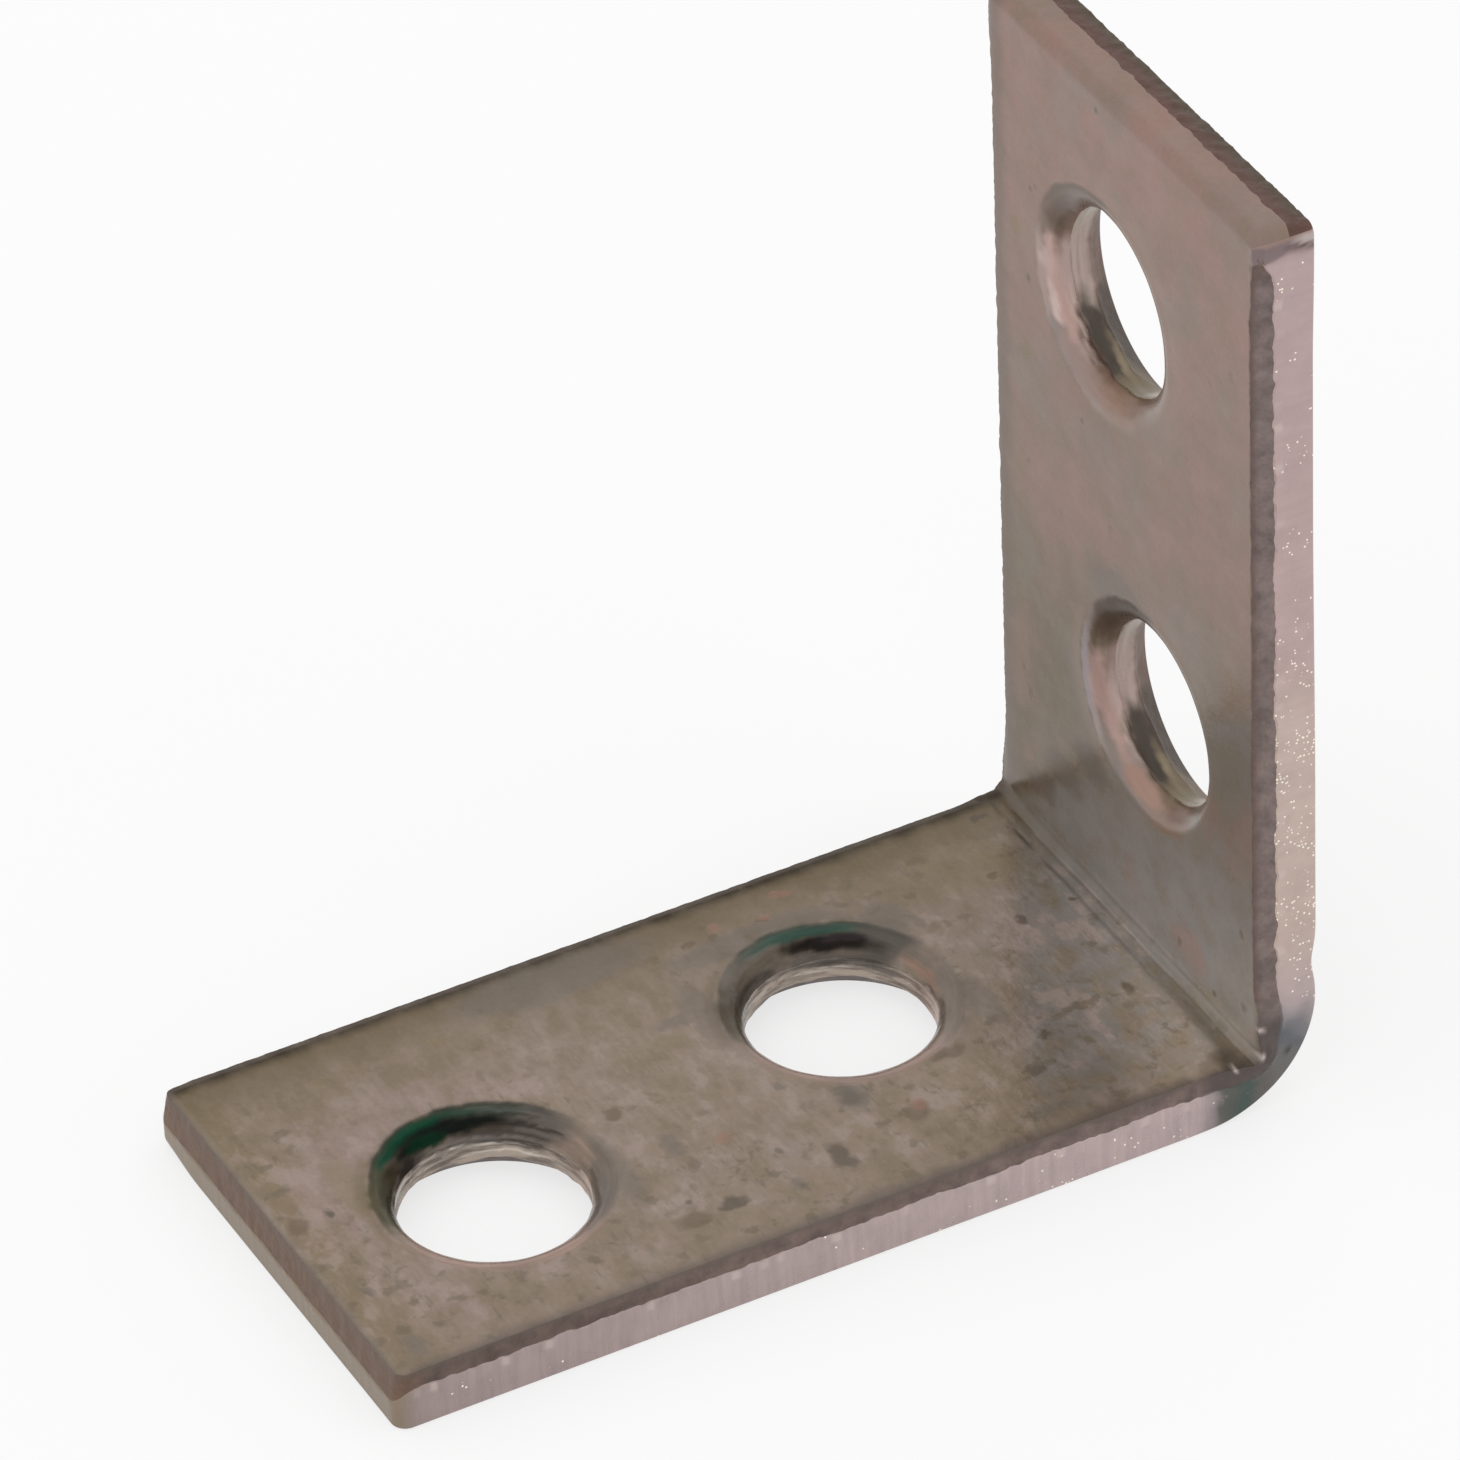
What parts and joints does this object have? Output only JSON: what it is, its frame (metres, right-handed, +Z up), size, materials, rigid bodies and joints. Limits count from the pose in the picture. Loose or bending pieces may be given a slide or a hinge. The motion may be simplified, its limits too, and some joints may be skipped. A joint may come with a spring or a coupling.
{
  "type": "angle iron",
  "caption": "Small pressed steel right-angle bracket with a rounded outside fold and staggered punched screw holes in both legs, for joining or bracing a corner.",
  "frame": {"origin": "bottom centre of the bracket's bounding box: middle of the foot leg's length overall and of the strip's width, on the foot leg's underside", "axes": "+Z up along the wall leg; +X along the foot leg from its free end towards the wall leg, whose outer face looks along +X; Y across the strip"},
  "size_m": [0.025, 0.0126, 0.0256],
  "materials": {
    "zinc_plated_steel": "dull zinc-plated mild steel, stained and lightly scratched, with bare sheared edges"
  },
  "bodies": {
    "root": {"angle_iron": "zinc_plated_steel"}
  },
  "joints": []
}
